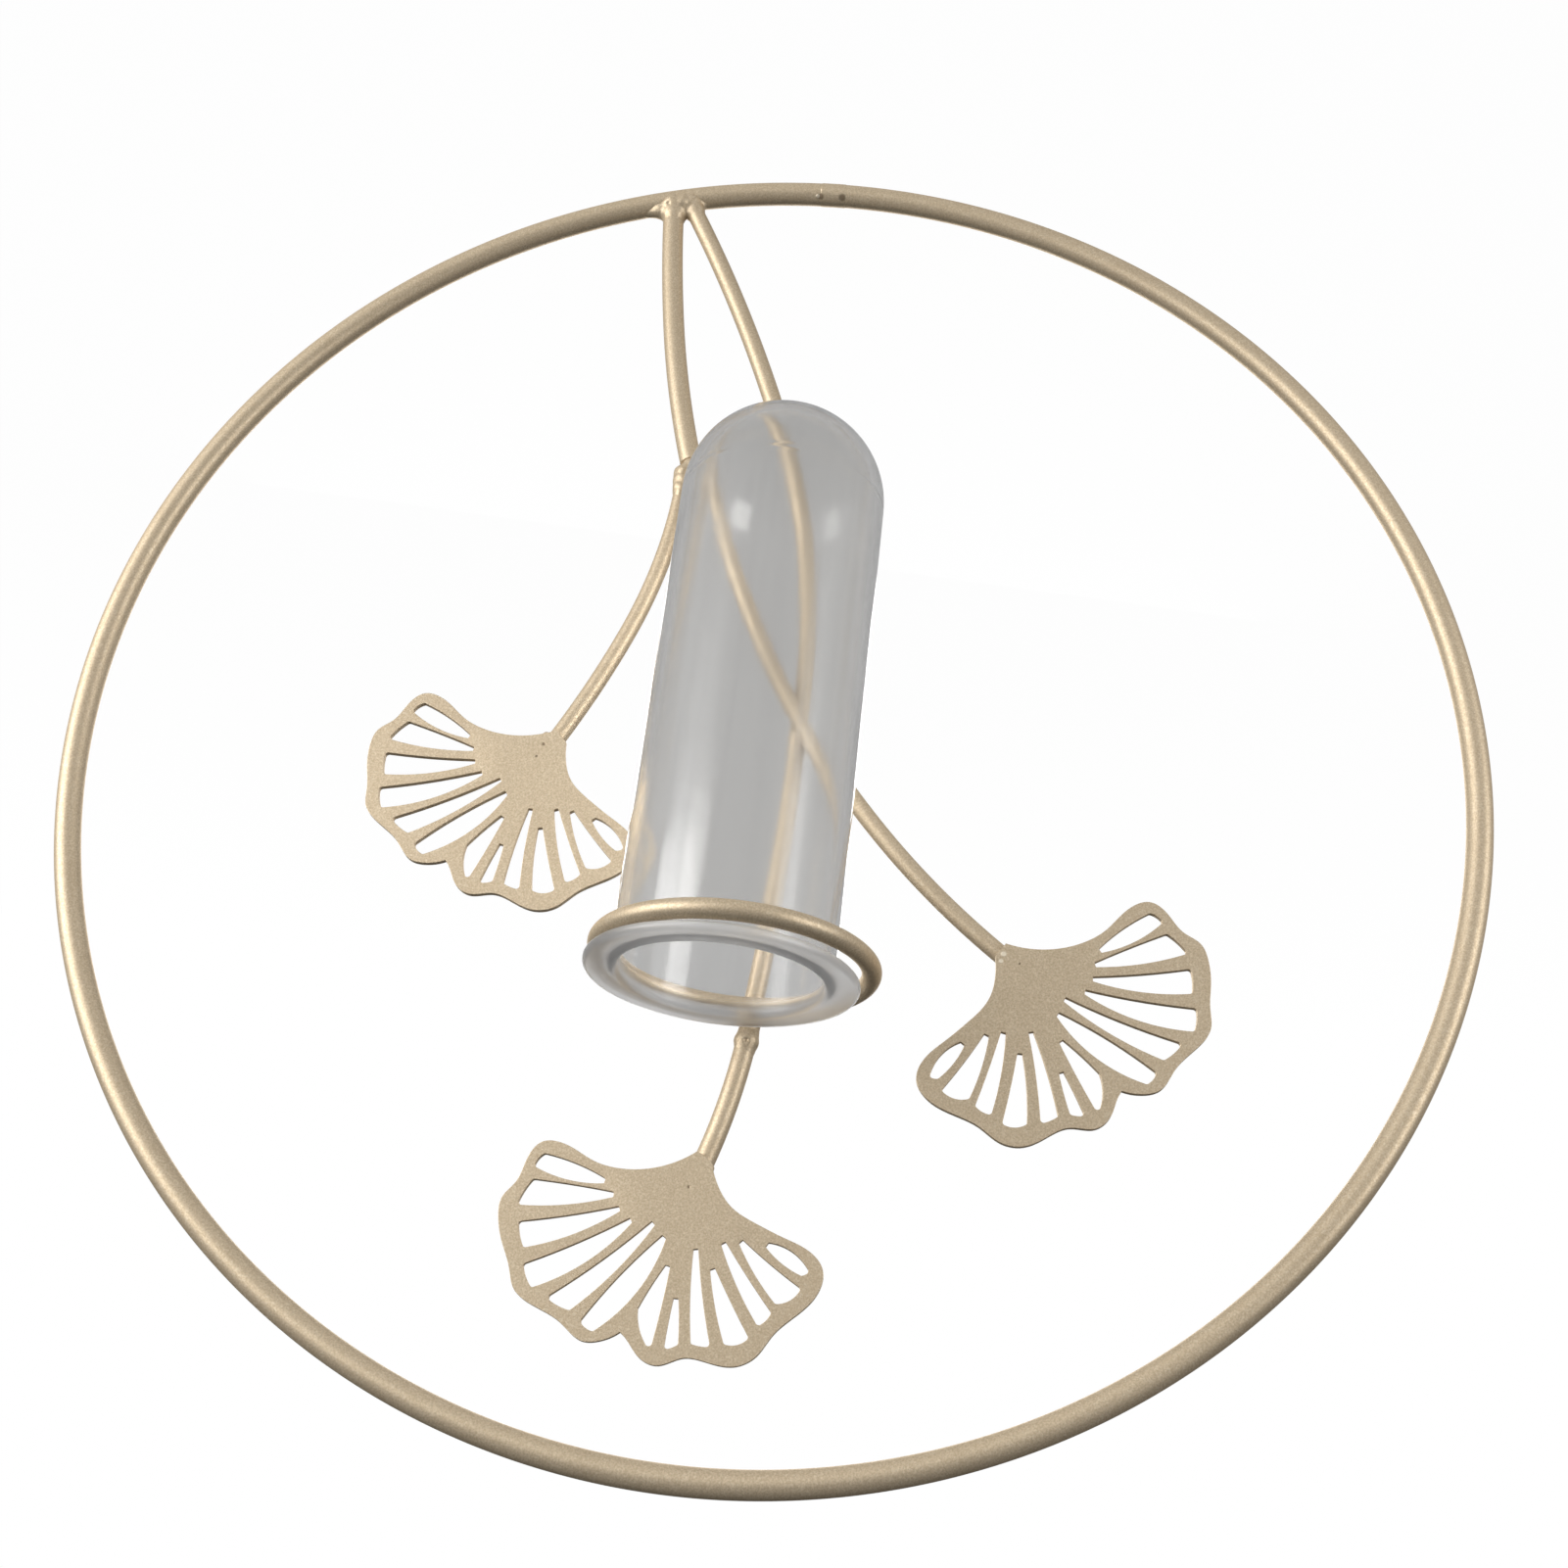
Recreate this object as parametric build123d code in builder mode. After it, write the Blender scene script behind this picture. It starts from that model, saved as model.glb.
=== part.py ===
from build123d import *
from math import atan2, cos, degrees, radians, sin
import os

# Hanging wall vase: a hoop of round rod, two stems with three fan leaves, and a glass tube in a wire ring.
# +X runs to the right, +Y runs back to the wall and +Z is up.
# The origin is the hanging point, on the inside of the hoop's top, where a nail carries it.

os.makedirs("parts", exist_ok=True)

# Hoop
hoop_outer_diameter = 280.0
hoop_rod_diameter = 5.0
seam_width = 6.0
seam_proud = 0.1

# Rods inside the hoop
trunk_diameter = 4.6
stem_diameter = 3.9
branch_diameter = 3.5

# Centre lines of the rods, from the hoop's centre, as shares of the hoop's mid radius
trunk_route_shares = [(0.260, -0.964), (0.244, -0.820), (0.226, -0.704), (0.168, -0.462)]
stem_route_shares = [(0.236, -0.970), (0.110, -0.718), (0.021, -0.493), (-0.052, -0.060), (-0.022, 0.441)]
branch_right_route_shares = [(0.190, -0.284), (0.224, -0.159), (0.3205, 0.0575)]
branch_left_route_shares = [(0.097, -0.291), (0.021, -0.139), (-0.179, 0.141), (-0.385, 0.321)]
top_twig_end_share = (0.0275, 0.646)

# Where the two branches start, across and up from the trunk's end
branch_right_across = 0.9
branch_right_rise = 2.1
branch_left_across = -1.8
branch_left_rise = 4.1

# Fan leaves, cut from one blank
leaf_width = 58.0
leaf_length = 37.5
leaf_thickness = 1.2
leaf_lap = 6.0
slot_tip_width = 0.9
slot_corner_radius = 0.6

# Points of the leaf's edge, across as shares of its width and along as shares of its length
right_edge_shares = [
    (0.026, -0.008), (0.057, 0.056), (0.100, 0.120), (0.160, 0.181), (0.226, 0.221),
    (0.302, 0.237), (0.410, 0.221), (0.478, 0.259), (0.495, 0.357), (0.493, 0.477),
    (0.510, 0.568), (0.491, 0.661), (0.445, 0.757), (0.393, 0.840), (0.350, 0.920),
    (0.267, 0.952), (0.176, 0.968), (0.095, 1.000), (0.045, 0.965), (0.002, 0.893),
]
left_edge_shares = [
    (0.002, 0.893), (-0.028, 0.912), (-0.081, 0.957), (-0.140, 0.955), (-0.198, 0.880),
    (-0.286, 0.845), (-0.352, 0.811), (-0.395, 0.733), (-0.414, 0.619), (-0.457, 0.483),
    (-0.486, 0.355), (-0.472, 0.256), (-0.412, 0.203), (-0.326, 0.195), (-0.233, 0.189),
    (-0.140, 0.165), (-0.066, 0.085), (-0.028, 0.013),
]
# Each slot: its tip, its two outer corners, then how far its two sides and its end bow out,
# as shares of their chords
slot_shares = [
    ((0.245, 0.301), (0.452, 0.301), (0.464, 0.376), 0.040, 0.070, 0.100),
    ((0.202, 0.341), (0.448, 0.432), (0.457, 0.571), 0.010, 0.040, 0.050),
    ((0.166, 0.389), (0.429, 0.637), (0.379, 0.736), -0.015, 0.050, 0.060),
    ((0.119, 0.416), (0.357, 0.803), (0.302, 0.883), -0.018, 0.070, 0.070),
    ((0.053, 0.384), (0.248, 0.893), (0.167, 0.901), -0.020, 0.040, 0.060),
    ((0.005, 0.421), (0.124, 0.925), (0.076, 0.941), 0.027, 0.090, 0.100),
    ((-0.043, 0.533), (-0.016, 0.763), (-0.103, 0.909), 0.017, 0.010, 0.100),
    ((-0.107, 0.651), (-0.138, 0.880), (-0.171, 0.832), 0.010, 0.015, 0.050),
    ((-0.098, 0.411), (-0.203, 0.805), (-0.260, 0.781), 0.020, -0.018, 0.050),
    ((-0.169, 0.461), (-0.293, 0.744), (-0.353, 0.672), 0.026, -0.010, 0.150),
    ((-0.166, 0.333), (-0.362, 0.608), (-0.383, 0.528), 0.030, -0.010, 0.100),
    ((-0.212, 0.293), (-0.383, 0.485), (-0.434, 0.373), 0.035, -0.015, 0.150),
    ((-0.288, 0.256), (-0.419, 0.320), (-0.436, 0.288), 0.060, 0.125, 0.100),
]

# How each leaf sits on its rod: the turn from the rod's line in degrees, and the shift across it
right_leaf_turn = 4.0
right_leaf_shift = -1.4
left_leaf_turn = 12.4
left_leaf_shift = 0.0
top_leaf_turn = -1.9
top_leaf_shift = 0.0

# Glass tube
tube_outer_diameter = 39.2
tube_wall = 1.8
tube_length = 118.0
lip_thickness = 1.9
lip_reach = 4.4
lip_cove_radius = 1.2
lip_edge_share = 0.45
lip_flare_share = 0.8

# Wire ring that holds the tube, its front a few degrees lower than its back
holder_wire_diameter = 3.5
holder_play = 2.4
holder_below_joint = 5.3
holder_shift = 2.0
holder_droop = 1.6
tube_shift_share = 0.8
lip_seat_gap = 0.3

# Weld metal: how far it stands over the rods that it joins, and how far a long bead runs
weld_throat = 0.8
root_weld_throat = 1.3
fork_weld_throat = 0.5
fork_weld_run = 2.8
crossing_weld_run = 5.0
leaf_weld_start = 1.2
leaf_weld_taper = 35.0

# Places that follow from the sizes
hoop_mid_radius = (hoop_outer_diameter - hoop_rod_diameter) / 2
hoop_inner_radius = hoop_mid_radius - hoop_rod_diameter / 2
hoop_centre = Vector(0, 0, -hoop_inner_radius)
front = Vector(0, -1, 0)
rod_plane = Plane(origin=hoop_centre, x_dir=(1, 0, 0), z_dir=front)
lap_depth = (stem_diameter + branch_diameter) / 2


def in_hoop(shares):
    """Points from the hoop's centre, at shares of its mid radius."""
    return [(across * hoop_mid_radius, up * hoop_mid_radius) for across, up in shares]


def bent_route(plane, points):
    """A bent rod's centre line: an arc through three points, then arcs that run on from it smoothly."""
    start, through, *bends = points
    with BuildLine(plane) as route:
        stretch = ThreePointArc(start, through, bends[0])
        for bend in bends[1:]:
            stretch = TangentArc(stretch @ 1, bend, tangent=stretch % 1)
    return route.wire()


trunk_points = in_hoop(trunk_route_shares)
trunk_end_across, trunk_end_up = trunk_points[-1]
branch_right_foot = (trunk_end_across + branch_right_across, trunk_end_up + branch_right_rise)
branch_left_foot = (trunk_end_across + branch_left_across, trunk_end_up + branch_left_rise)

trunk_route = bent_route(rod_plane, trunk_points)
stem_route = bent_route(rod_plane, in_hoop(stem_route_shares))
branch_right_route = bent_route(rod_plane, [branch_right_foot, *in_hoop(branch_right_route_shares)])
front_plane = rod_plane.offset(lap_depth)
branch_left_route = bent_route(front_plane, [branch_left_foot, *in_hoop(branch_left_route_shares)])
with BuildLine(rod_plane) as top_twig_line:
    TangentArc(stem_route @ 1, in_hoop([top_twig_end_share])[0], tangent=stem_route % 1)
top_twig_route = top_twig_line.wire()


# Hoop: round rod bent to a circle, its two ends meeting at the bottom in a butt weld
half_seam = seam_width / hoop_mid_radius / 2
hoop_axis = Axis(hoop_centre, (0, 1, 0))


def hoop_section(turn):
    """Plane square to the hoop's rod, turned from the hoop's lowest point."""
    return Plane(origin=hoop_centre, x_dir=(sin(turn), 0, -cos(turn)), z_dir=(-cos(turn), 0, -sin(turn)))


with BuildPart() as hoop:
    with BuildSketch(hoop_section(-half_seam)):
        with Locations((hoop_mid_radius, 0)):
            Circle(hoop_rod_diameter / 2)
    revolve(axis=hoop_axis, revolution_arc=360 - degrees(2 * half_seam))
hoop.part.label = "hoop"
export_step(hoop.part, "parts/hoop.step")

with BuildPart() as hoop_seam_weld:
    with BuildSketch(hoop_section(half_seam)):
        with Locations((hoop_mid_radius, 0)):
            Circle(hoop_rod_diameter / 2 + seam_proud)
    revolve(axis=hoop_axis, revolution_arc=degrees(2 * half_seam))
hoop_seam_weld.part.label = "hoop_seam_weld"
export_step(hoop_seam_weld.part, "parts/hoop_seam_weld.step")


# Rods: each is swept along its centre line. The stem's foot is cut to the hoop, the trunk's to both
with BuildPart() as stem:
    with BuildSketch(Plane(origin=stem_route @ 0, z_dir=stem_route % 0)):
        Circle(stem_diameter / 2)
    sweep(path=stem_route)
    add(hoop.part, mode=Mode.SUBTRACT)
stem.part.label = "stem"
export_step(stem.part, "parts/stem.step")

with BuildPart() as trunk:
    with BuildSketch(Plane(origin=trunk_route @ 0, z_dir=trunk_route % 0)):
        Circle(trunk_diameter / 2)
    sweep(path=trunk_route)
    add(hoop.part, mode=Mode.SUBTRACT)
    add(stem.part, mode=Mode.SUBTRACT)
trunk.part.label = "trunk"
export_step(trunk.part, "parts/trunk.step")

with BuildPart() as branch_right:
    with BuildSketch(Plane(origin=branch_right_route @ 0, z_dir=branch_right_route % 0)):
        Circle(branch_diameter / 2)
    sweep(path=branch_right_route)
branch_right.part.label = "branch_right"
export_step(branch_right.part, "parts/branch_right.step")

with BuildPart() as branch_left:
    with BuildSketch(Plane(origin=branch_left_route @ 0, z_dir=branch_left_route % 0)):
        Circle(branch_diameter / 2)
    sweep(path=branch_left_route)
branch_left.part.label = "branch_left"
export_step(branch_left.part, "parts/branch_left.step")

with BuildPart() as top_twig:
    with BuildSketch(Plane(origin=top_twig_route @ 0, z_dir=top_twig_route % 0)):
        Circle(stem_diameter / 2)
    sweep(path=top_twig_route)
top_twig.part.label = "top_twig"
export_step(top_twig.part, "parts/top_twig.step")


# Holder ring: a closed wire ring, its back against the front of the stem and its front a little lower
holder_mid_radius = (tube_outer_diameter + holder_wire_diameter) / 2 + holder_play
holder_front = front.rotate(Axis.X, holder_droop)
lift_line = Vector(0, 0, 1).rotate(Axis.X, holder_droop)
holder_seat = stem_route @ 1 - (stem_route % 1) * holder_below_joint + front * (stem_diameter / 2)
holder_back = holder_seat + front * (holder_wire_diameter / 2) + Vector(holder_shift, 0, 0)
holder_centre = holder_back + holder_front * holder_mid_radius
with BuildPart() as holder_ring:
    with BuildSketch(Plane(origin=holder_centre, x_dir=(1, 0, 0), z_dir=holder_front)):
        with Locations((holder_mid_radius, 0)):
            Circle(holder_wire_diameter / 2)
    revolve(axis=Axis(holder_centre, lift_line))
holder_ring.part.label = "holder_ring"
export_step(holder_ring.part, "parts/holder_ring.step")


# Glass tube: one wall turned about its axis, round at the bottom, with a rolled lip that sits on the ring
outer_radius = tube_outer_diameter / 2
inner_radius = outer_radius - tube_wall
lip_radius = outer_radius + lip_reach
dome_height = lip_thickness + outer_radius - tube_length
lip_height = holder_wire_diameter / 2 + lip_seat_gap
tube_seat = holder_centre + Vector(holder_play * tube_shift_share, 0, 0) + lift_line * lip_height
cove_corner = (outer_radius, 0)
lip_corners = [(lip_radius, 0), (lip_radius, lip_thickness)]
mouth_corner = (inner_radius, lip_thickness)
with BuildPart() as glass_tube:
    with BuildSketch(Plane(origin=tube_seat, x_dir=(1, 0, 0), z_dir=holder_front)) as tube_wall_section:
        with BuildLine():
            CenterArc((0, dome_height), outer_radius, -90, 90)
            Polyline(
                (outer_radius, dome_height),
                cove_corner,
                *lip_corners,
                mouth_corner,
                (inner_radius, dome_height),
            )
            CenterArc((0, dome_height), inner_radius, 0, -90)
            Line((0, dome_height - inner_radius), (0, dome_height - outer_radius))
        make_face()
        corners = tube_wall_section.vertices()
        fillet(corners.sort_by_distance(cove_corner)[0], lip_cove_radius)
        for lip_corner in lip_corners:
            corners = tube_wall_section.vertices()
            fillet(corners.sort_by_distance(lip_corner)[0], lip_thickness * lip_edge_share)
        corners = tube_wall_section.vertices()
        fillet(corners.sort_by_distance(mouth_corner)[0], lip_thickness * lip_flare_share)
    revolve(axis=Axis(tube_seat, lift_line))
glass_tube.part.label = "glass_tube"
export_step(glass_tube.part, "parts/glass_tube.step")


# Fan leaf blank: a wavy edge in two lobes, and thirteen slots that fan out from the tongue
def on_leaf(share):
    """Point of the blank, from the tongue, at shares of its width and its length."""
    return Vector(share[0] * leaf_width, share[1] * leaf_length)


def bowed_line(start, end, bow_share):
    """Arc from start to end that bows out to its right by a share of its chord."""
    chord = end - start
    return ThreePointArc(start, (start + end) / 2 + Vector(chord.Y, -chord.X) * bow_share, end)


def leaf_slot(tip_share, near_share, far_share, near_bow, far_bow, end_bow):
    """Slot with a narrow tip by the tongue, two bowed sides and a wider outer end."""
    tip, near, far = on_leaf(tip_share), on_leaf(near_share), on_leaf(far_share)
    ahead = ((near + far) / 2 - tip).normalized()
    half_tip = Vector(ahead.Y, -ahead.X) * (slot_tip_width / 2)
    with BuildSketch() as slot:
        with BuildLine():
            bowed_line(tip + half_tip, near, near_bow)
            bowed_line(near, far, end_bow)
            bowed_line(far, tip - half_tip, far_bow)
            Line(tip - half_tip, tip + half_tip)
        make_face()
        fillet(slot.vertices().sort_by_distance(tip)[2:], slot_corner_radius)
    return slot.sketch


slots = [leaf_slot(*shares) for shares in slot_shares]
with BuildSketch() as leaf_blank:
    with BuildLine():
        right_edge = Spline(*[on_leaf(share) for share in right_edge_shares])
        left_edge = Spline(*[on_leaf(share) for share in left_edge_shares])
        Line(left_edge @ 1, right_edge @ 0)
    make_face()
    add(slots, mode=Mode.SUBTRACT)


def leaf_plane(route, rod_diameter, turn, shift):
    """Plane of a leaf's back, on its rod's front. Its origin is at the tongue, its Y along the leaf."""
    ahead = route % 1
    lean = atan2(ahead.X, ahead.Z) + radians(turn)
    across = Vector(cos(lean), 0, -sin(lean))
    tongue = route @ 1 - ahead * leaf_lap + across * shift + front * (rod_diameter / 2)
    return Plane(origin=tongue, x_dir=across, z_dir=front)


right_leaf_plane = leaf_plane(branch_right_route, branch_diameter, right_leaf_turn, right_leaf_shift)
left_leaf_plane = leaf_plane(branch_left_route, branch_diameter, left_leaf_turn, left_leaf_shift)
top_leaf_plane = leaf_plane(top_twig_route, stem_diameter, top_leaf_turn, top_leaf_shift)
turned_left_plane = Plane(origin=left_leaf_plane.origin, x_dir=-left_leaf_plane.x_dir, z_dir=-front)

with BuildPart() as leaf_right:
    with BuildSketch(right_leaf_plane):
        add(leaf_blank.sketch)
    extrude(amount=leaf_thickness)
leaf_right.part.label = "leaf_right"
export_step(leaf_right.part, "parts/leaf_right.step")

# The left leaf is the same blank turned over
with BuildPart() as leaf_left:
    with BuildSketch(turned_left_plane):
        add(leaf_blank.sketch)
    extrude(amount=-leaf_thickness)
leaf_left.part.label = "leaf_left"
export_step(leaf_left.part, "parts/leaf_left.step")

with BuildPart() as leaf_top:
    with BuildSketch(top_leaf_plane):
        add(leaf_blank.sketch)
    extrude(amount=leaf_thickness)
leaf_top.part.label = "leaf_top"
export_step(leaf_top.part, "parts/leaf_top.step")


# Welds: round lumps of metal that run into each other, cut to the pieces that they join
def along(route, distance):
    """Point at a distance along a route."""
    return route.position_at(distance, position_mode=PositionMode.LENGTH)


foot_height = hoop_rod_diameter / 2 + weld_throat
trunk_foot = along(trunk_route, foot_height)
stem_foot = along(stem_route, foot_height)
between_feet = (trunk_foot + stem_foot) / 2 + front * weld_throat + Vector(0, 0, -root_weld_throat)
stem_bead = stem_diameter / 2 + weld_throat
branch_bead = branch_diameter / 2 + weld_throat
on_stem, on_branch = stem_route.distance_to_with_closest_points(branch_left_route)[1:]
crossing = (on_stem + on_branch) / 2
crossing_tail = on_stem + front * weld_throat + Vector(0, 0, crossing_weld_run)

welds = {
    "root_weld": (
        [
            (trunk_foot, trunk_diameter / 2 + root_weld_throat),
            (stem_foot, stem_diameter / 2 + root_weld_throat),
            (between_feet, hoop_rod_diameter / 2 + weld_throat / 2),
        ],
        [hoop, trunk, stem],
    ),
    "fork_weld": (
        [
            (trunk_route @ 1, trunk_diameter / 2 + fork_weld_throat),
            (branch_right_route @ 0, branch_bead),
            (along(branch_right_route, fork_weld_run), branch_diameter / 2 + fork_weld_throat),
            (branch_left_route @ 0, branch_bead),
        ],
        [trunk, branch_right, branch_left],
    ),
    "crossing_weld": ([(crossing, branch_bead), (crossing_tail, stem_bead)], [stem, branch_left]),
    "holder_weld": ([(holder_seat, holder_wire_diameter / 2 + weld_throat)], [stem, holder_ring]),
    "twig_weld": ([(stem_route @ 1, stem_bead)], [stem, top_twig]),
}
for name, (lumps, members) in welds.items():
    with BuildPart() as weld:
        for centre, radius in lumps:
            with Locations(centre):
                Sphere(radius)
        for member in members:
            add(member.part, mode=Mode.SUBTRACT)
    weld.part.label = name
    export_step(weld.part, f"parts/{name}.step")

# Leaf welds: a low bead on the leaf's back that fills both sides of the rod's last stretch
leaf_welds = {
    "leaf_right_weld": (branch_right, branch_right_route, branch_diameter / 2),
    "leaf_left_weld": (branch_left, branch_left_route, branch_diameter / 2),
    "leaf_top_weld": (top_twig, top_twig_route, stem_diameter / 2),
}
for name, (rod, route, rod_radius) in leaf_welds.items():
    rod_front = route @ 1 + front * rod_radius
    middle = rod_front + (route % 1) * (leaf_weld_start - leaf_lap / 2)
    with BuildPart() as leaf_weld:
        with BuildSketch(Plane(origin=middle, x_dir=route % 1, z_dir=front)):
            SlotOverall(leaf_lap, 2 * (rod_radius + weld_throat))
        extrude(amount=-rod_radius, taper=leaf_weld_taper)
        add(rod.part, mode=Mode.SUBTRACT)
    leaf_weld.part.label = name
    export_step(leaf_weld.part, f"parts/{name}.step")
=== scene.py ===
# %% [markdown]
# # Hanging wall vase
#
# A hoop of round rod carries two bent stems with three fan leaves, and a wire ring that holds a
# glass tube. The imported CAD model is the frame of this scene. Its solids have the right size and
# place, and each visible piece is made again here with finer curves, softer edges and a real
# finish.

from collections import namedtuple
from math import atan2, ceil, cos, pi, radians, sin

import bmesh
import bpy
from mathutils import Matrix, Vector, noise


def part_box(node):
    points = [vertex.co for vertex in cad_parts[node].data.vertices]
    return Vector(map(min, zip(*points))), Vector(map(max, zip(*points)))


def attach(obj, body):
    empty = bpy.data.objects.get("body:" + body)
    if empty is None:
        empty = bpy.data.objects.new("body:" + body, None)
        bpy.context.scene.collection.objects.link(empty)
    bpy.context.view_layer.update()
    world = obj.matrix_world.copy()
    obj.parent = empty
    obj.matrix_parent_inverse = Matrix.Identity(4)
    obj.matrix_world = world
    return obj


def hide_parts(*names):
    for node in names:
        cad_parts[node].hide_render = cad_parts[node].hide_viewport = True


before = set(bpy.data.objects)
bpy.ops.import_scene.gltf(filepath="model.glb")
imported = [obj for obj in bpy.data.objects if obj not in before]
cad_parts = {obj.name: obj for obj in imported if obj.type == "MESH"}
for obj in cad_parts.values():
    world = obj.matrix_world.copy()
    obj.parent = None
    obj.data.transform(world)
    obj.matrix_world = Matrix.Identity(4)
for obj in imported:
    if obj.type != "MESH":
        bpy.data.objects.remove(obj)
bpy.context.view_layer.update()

# %% [markdown]
# ## Sizes
#
# Blender works in metres and the part was drawn in millimetres, so every size is written in
# millimetres times `mm`. They are the part's own sizes, because a new piece has to lie where its
# solid lies: the same arcs, the same rod thicknesses, the same lean of the tube.

# %% Sizes of the object
mm = 0.001
merge_distance = 0.002 * mm
leaf_merge_distance = 0.0005 * mm
hoop_mid_radius = 137.5 * mm
hoop_rod_radius = 2.5 * mm
hoop_centre = Vector((0, 0, -135 * mm))
front = Vector((0, -1, 0))

trunk_radius = 2.3 * mm
stem_radius = 1.95 * mm
branch_radius = 1.75 * mm
lap_depth = stem_radius + branch_radius

lean = radians(1.6)
holder_wire_radius = 1.75 * mm
holder_mid_radius = 23.75 * mm
holder_centre = Vector((-1.6446, -27.4407, -80.2893)) * mm
tube_seat = Vector((0.2754, -27.498, -78.2401)) * mm
print("hoop", round(2 * (hoop_mid_radius + hoop_rod_radius) / mm), "mm outside")

# %% [markdown]
# ## Keeping a finished piece
#
# Each piece is built in a `bmesh`, which is Blender's mesh for editing. When it is done, its double
# points are merged, its faces are turned outwards and it becomes an object at the origin. It rides
# on a body of the frame, stands for the solids that it replaces and gets its paint.


# %% A helper that turns a bmesh into a piece
def keep(bm, name, body, nodes, finish, merge=merge_distance, crease=None):
    """Make the edited mesh an object that rides on a body and replaces the nodes it stands for."""
    bmesh.ops.remove_doubles(bm, verts=bm.verts, dist=merge)
    bmesh.ops.recalc_face_normals(bm, faces=bm.faces)
    mesh = bpy.data.meshes.new(name)
    bm.to_mesh(mesh)
    bm.free()
    mesh.shade_smooth()
    if crease:
        mesh.set_sharp_from_angle(angle=crease)
    piece = bpy.data.objects.new(name, mesh)
    bpy.context.scene.collection.objects.link(piece)
    piece.data.materials.append(finish)
    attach(piece, body)
    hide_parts(*nodes)
    print(f"{name}: {len(mesh.polygons)} faces")


# %% [markdown]
# ## Writing a finish as sums
#
# A material is a net of nodes. Drawing it by hand is slow to read in code, so a small class stands
# for a socket: adding or multiplying two of them adds the Math nodes. `Finish.add` makes any other
# node from its type, its settings and what goes into its sockets.


# %% The shader helpers
class Wire:
    """A number that comes out of a shader node. Python's operators on it add Math nodes."""

    def __init__(self, finish, socket):
        self.finish = finish
        self.socket = socket

    def maths(self, operation, *values):
        """Add a Math node on the given values and return its result."""
        node = self.finish.add("ShaderNodeMath", {"operation": operation}, dict(enumerate(values)))
        return Wire(self.finish, node.outputs[0])

    def __add__(self, other):
        return self.maths("ADD", self, other)

    def __sub__(self, other):
        return self.maths("SUBTRACT", self, other)

    def __rsub__(self, other):
        return self.maths("SUBTRACT", other, self)

    def __mul__(self, other):
        return self.maths("MULTIPLY", self, other)


class Finish:
    """A material while its nodes are being added."""

    def __init__(self, name):
        self.material = bpy.data.materials.new(name)
        self.material.use_nodes = True
        self.tree = self.material.node_tree
        self.tree.nodes.clear()
        self.place = self.out("ShaderNodeTexCoord", "Object")

    def add(self, kind, settings=None, values=None):
        """Add a node, with its settings first and then the values or links of its sockets."""
        node = self.tree.nodes.new(kind)
        for name, setting in (settings or {}).items():
            setattr(node, name, setting)
        for socket, value in (values or {}).items():
            if isinstance(value, Wire):
                self.tree.links.new(value.socket, node.inputs[socket])
            else:
                node.inputs[socket].default_value = value
        return node

    def out(self, kind, output, settings=None, values=None):
        """Add a node and return one of its outputs."""
        return Wire(self, self.add(kind, settings, values).outputs[output])

    def speckle(self, size, detail, where=None):
        """Noise with lumps of about this size, from 0 to 1."""
        values = {"Vector": where or self.place, "Scale": 0.5 / size, "Detail": detail}
        return self.out("ShaderNodeTexNoise", "Fac", values=values)

    def ease(self, value, low, high, to_low=0.0, to_high=1.0):
        """Carry a value smoothly from one range to another."""
        settings = {"interpolation_type": "SMOOTHSTEP"}
        values = {
            "Value": value, "From Min": low, "From Max": high, "To Min": to_low, "To Max": to_high,
        }
        return self.out("ShaderNodeMapRange", "Result", settings, values)

    def near(self, point, radius):
        """1 within almost half a radius of a point of the object, falling to 0 at the radius."""
        values = {0: self.place, 1: point}
        away = self.out("ShaderNodeVectorMath", "Value", {"operation": "DISTANCE"}, values)
        return self.ease(away, 0.45 * radius, radius, 1.0, 0.0)

    def tint(self, share, low, high):
        """Mix two colours by a share."""
        factor, first, second, mixed = 0, 6, 7, 2
        values = {factor: share, first: low, second: high}
        return self.out("ShaderNodeMix", mixed, {"data_type": "RGBA"}, values)

    def bump(self, height, distance):
        """Turn a height from 0 to 1 into a surface that rises and falls by a distance."""
        values = {"Height": height, "Distance": distance, "Strength": 1.0}
        return self.out("ShaderNodeBump", "Normal", values=values)

    def end(self, shader):
        """End the material with a shader."""
        self.add("ShaderNodeOutputMaterial", None, {"Surface": shader})
        return self.material


# %% [markdown]
# ## Champagne gold paint
#
# The steel is sprayed with a satin paint that has fine metal flakes in it. Close up it is a pale
# tan with a sandy sparkle of about a third of a millimetre, so the colour is broken up by a fine
# noise and by scattered brighter flakes, and a very low bump keeps the highlight soft and grainy.
# Weld metal has the same paint, with painted shade in its hollows. Small marks are given by their
# place and radius in millimetres and their rise: a pore is a dent with painted shade in it, a
# spatter a bump with a painted highlight on it.

# %% The paint
PAINT = (0.675, 0.555, 0.395, 1.0)
PAINT_DARK = (0.36, 0.267, 0.158, 1.0)
# Light colour of the flakes, used too as a painted highlight on spatter marks.
PAINT_FLAKE_AND_HIGHLIGHT = (0.95, 0.86, 0.70, 1.0)
# Dark colour for painted shade in pores and in the weld's hollows.
PAINTED_SHADE_COLOUR = (0.17, 0.12, 0.075, 1.0)
PAINT_SHEEN = (0.95, 0.83, 0.66, 1.0)
SAND_SIZE = 0.16 * mm
FLAKE_SIZE = 0.30 * mm
CLOUD_SIZE = 5 * mm
FLAKE_SHARE = 0.20
CLOUD_SHARE = 0.10
# Share of painted shade and painted highlight on marks.
MARK_PAINTED_LIGHT_SHARE = 0.75
# Share of painted shade in hollows.
PAINTED_SHADE_SHARE = 0.75
MARK_HEIGHT = 8.0
GRAIN_HEIGHT = 0.010 * mm


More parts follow.
